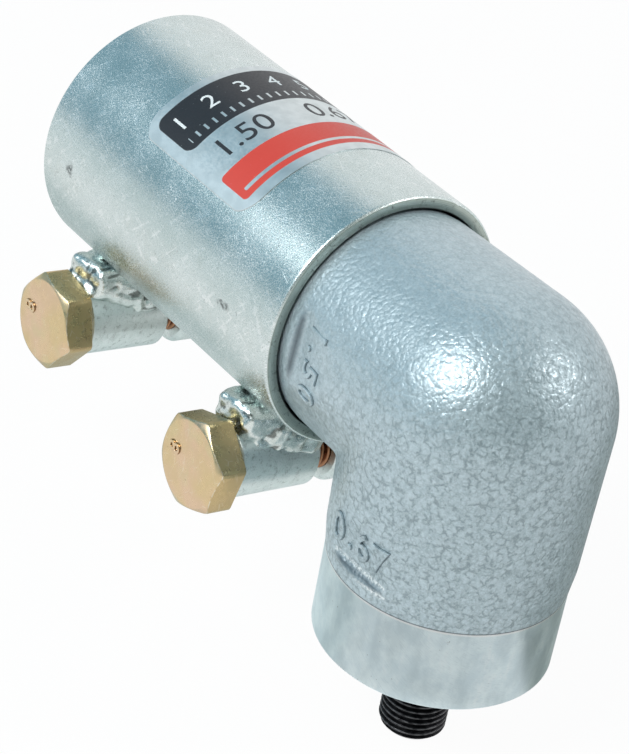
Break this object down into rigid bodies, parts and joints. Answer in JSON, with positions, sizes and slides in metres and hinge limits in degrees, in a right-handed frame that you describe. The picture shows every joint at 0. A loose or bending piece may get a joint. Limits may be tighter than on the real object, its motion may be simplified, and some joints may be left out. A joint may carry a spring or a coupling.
{
  "type": "right-angle drill attachment",
  "caption": "Right-angle drill attachment: a split clamp sleeve grips a drill's collar and holds a swivelling, bevel-geared elbow head with a threaded output spindle.",
  "frame": {"origin": "centre of the sleeve's open drill-end face, on the axis of the sleeve's bore", "axes": "+X along the sleeve from the drill end to the angle head, -Z along the output spindle, bolt heads on the -Y side"},
  "size_m": [0.129, 0.0566, 0.0961],
  "materials": {
    "zinc_sleeve": "bright zinc plate on drawn steel tube",
    "zinc_lug": "bright zinc plate on turned steel",
    "weld_metal": "zinc plate over rough weld beads",
    "printed_foil": "printed silver foil",
    "yellow_zinc": "yellow chromate zinc plate",
    "hammer_painted_casting": "blue-grey hammer paint on a casting, with bare turned collars",
    "gear_steel": "ground gear steel, oiled",
    "black_oxide_steel": "black oxide",
    "coupling_steel": "black oxide, turned",
    "bearing_steel": "ground and polished",
    "cage_brass": "machined",
    "plain_steel": "phosphated spring steel",
    "seal_rubber": "matt moulded rubber"
  },
  "bodies": {
    "sleeve": {"clamp_sleeve": "zinc_sleeve", "plain_lugs": "zinc_lug", "tapped_lugs": "zinc_lug", "weld_beads": "weld_metal", "foil_label": "printed_foil"},
    "rear_bolt": {"rear_clamp_bolt": "yellow_zinc"},
    "front_bolt": {"front_clamp_bolt": "yellow_zinc"},
    "head": {"angle_housing": "hammer_painted_casting", "input_inner_bearing_outer_race": "bearing_steel", "input_outer_bearing_outer_race": "bearing_steel", "output_inner_bearing_outer_race": "bearing_steel", "output_outer_bearing_outer_race": "bearing_steel", "input_outer_spacer": "plain_steel", "input_housing_ring": "plain_steel", "input_dust_seal": "seal_rubber", "output_outer_spacer": "plain_steel", "output_housing_ring": "plain_steel", "output_dust_seal": "seal_rubber"},
    "input_shaft": {"input_spindle": "black_oxide_steel", "input_key": "plain_steel", "bevel_pinion": "gear_steel", "drive_coupling": "coupling_steel", "input_inner_bearing_inner_race": "bearing_steel", "input_outer_bearing_inner_race": "bearing_steel", "input_inner_spacer": "plain_steel", "input_spindle_ring": "plain_steel"},
    "output_shaft": {"output_spindle": "black_oxide_steel", "output_key": "plain_steel", "bevel_gear": "gear_steel", "output_inner_bearing_inner_race": "bearing_steel", "output_outer_bearing_inner_race": "bearing_steel", "output_inner_spacer": "plain_steel", "output_spindle_ring": "plain_steel"},
    "input_ball_set": {"input_inner_bearing_balls": "bearing_steel", "input_inner_bearing_cage": "cage_brass", "input_outer_bearing_balls": "bearing_steel", "input_outer_bearing_cage": "cage_brass"},
    "output_ball_set": {"output_inner_bearing_balls": "bearing_steel", "output_inner_bearing_cage": "cage_brass", "output_outer_bearing_balls": "bearing_steel", "output_outer_bearing_cage": "cage_brass"}
  },
  "joints": [
    {"name": "head_swivel", "type": "hinge", "parent": "sleeve", "child": "head", "pos_m": [0.10577, 0, 0], "axis": [1, 0, 0], "continuous": true},
    {"name": "input_spin", "type": "hinge", "parent": "head", "child": "input_shaft", "pos_m": [0.10577, 0, 0], "axis": [1, 0, 0], "continuous": true},
    {"name": "output_spin", "type": "hinge", "parent": "head", "child": "output_shaft", "pos_m": [0.10577, 0, 0], "axis": [0, 0, 1], "continuous": true},
    {"name": "input_cage_spin", "type": "hinge", "parent": "head", "child": "input_ball_set", "pos_m": [0.10577, 0, 0], "axis": [1, 0, 0], "continuous": true},
    {"name": "output_cage_spin", "type": "hinge", "parent": "head", "child": "output_ball_set", "pos_m": [0.10577, 0, 0], "axis": [0, 0, 1], "continuous": true},
    {"name": "rear_bolt_turn", "type": "hinge", "parent": "sleeve", "child": "rear_bolt", "pos_m": [0.0135, -0.00299, -0.03226], "axis": [0, -0.9957, 0.0924], "range_deg": [0, 450]},
    {"name": "front_bolt_turn", "type": "hinge", "parent": "sleeve", "child": "front_bolt", "pos_m": [0.066, -0.00299, -0.03226], "axis": [0, -0.9957, 0.0924], "range_deg": [0, 450]}
  ],
  "couplings": [
    {"joint": "output_spin", "follows": "input_spin", "ratio": -0.66667},
    {"joint": "input_cage_spin", "follows": "input_spin", "ratio": 0.38},
    {"joint": "output_cage_spin", "follows": "input_spin", "ratio": -0.25333}
  ]
}
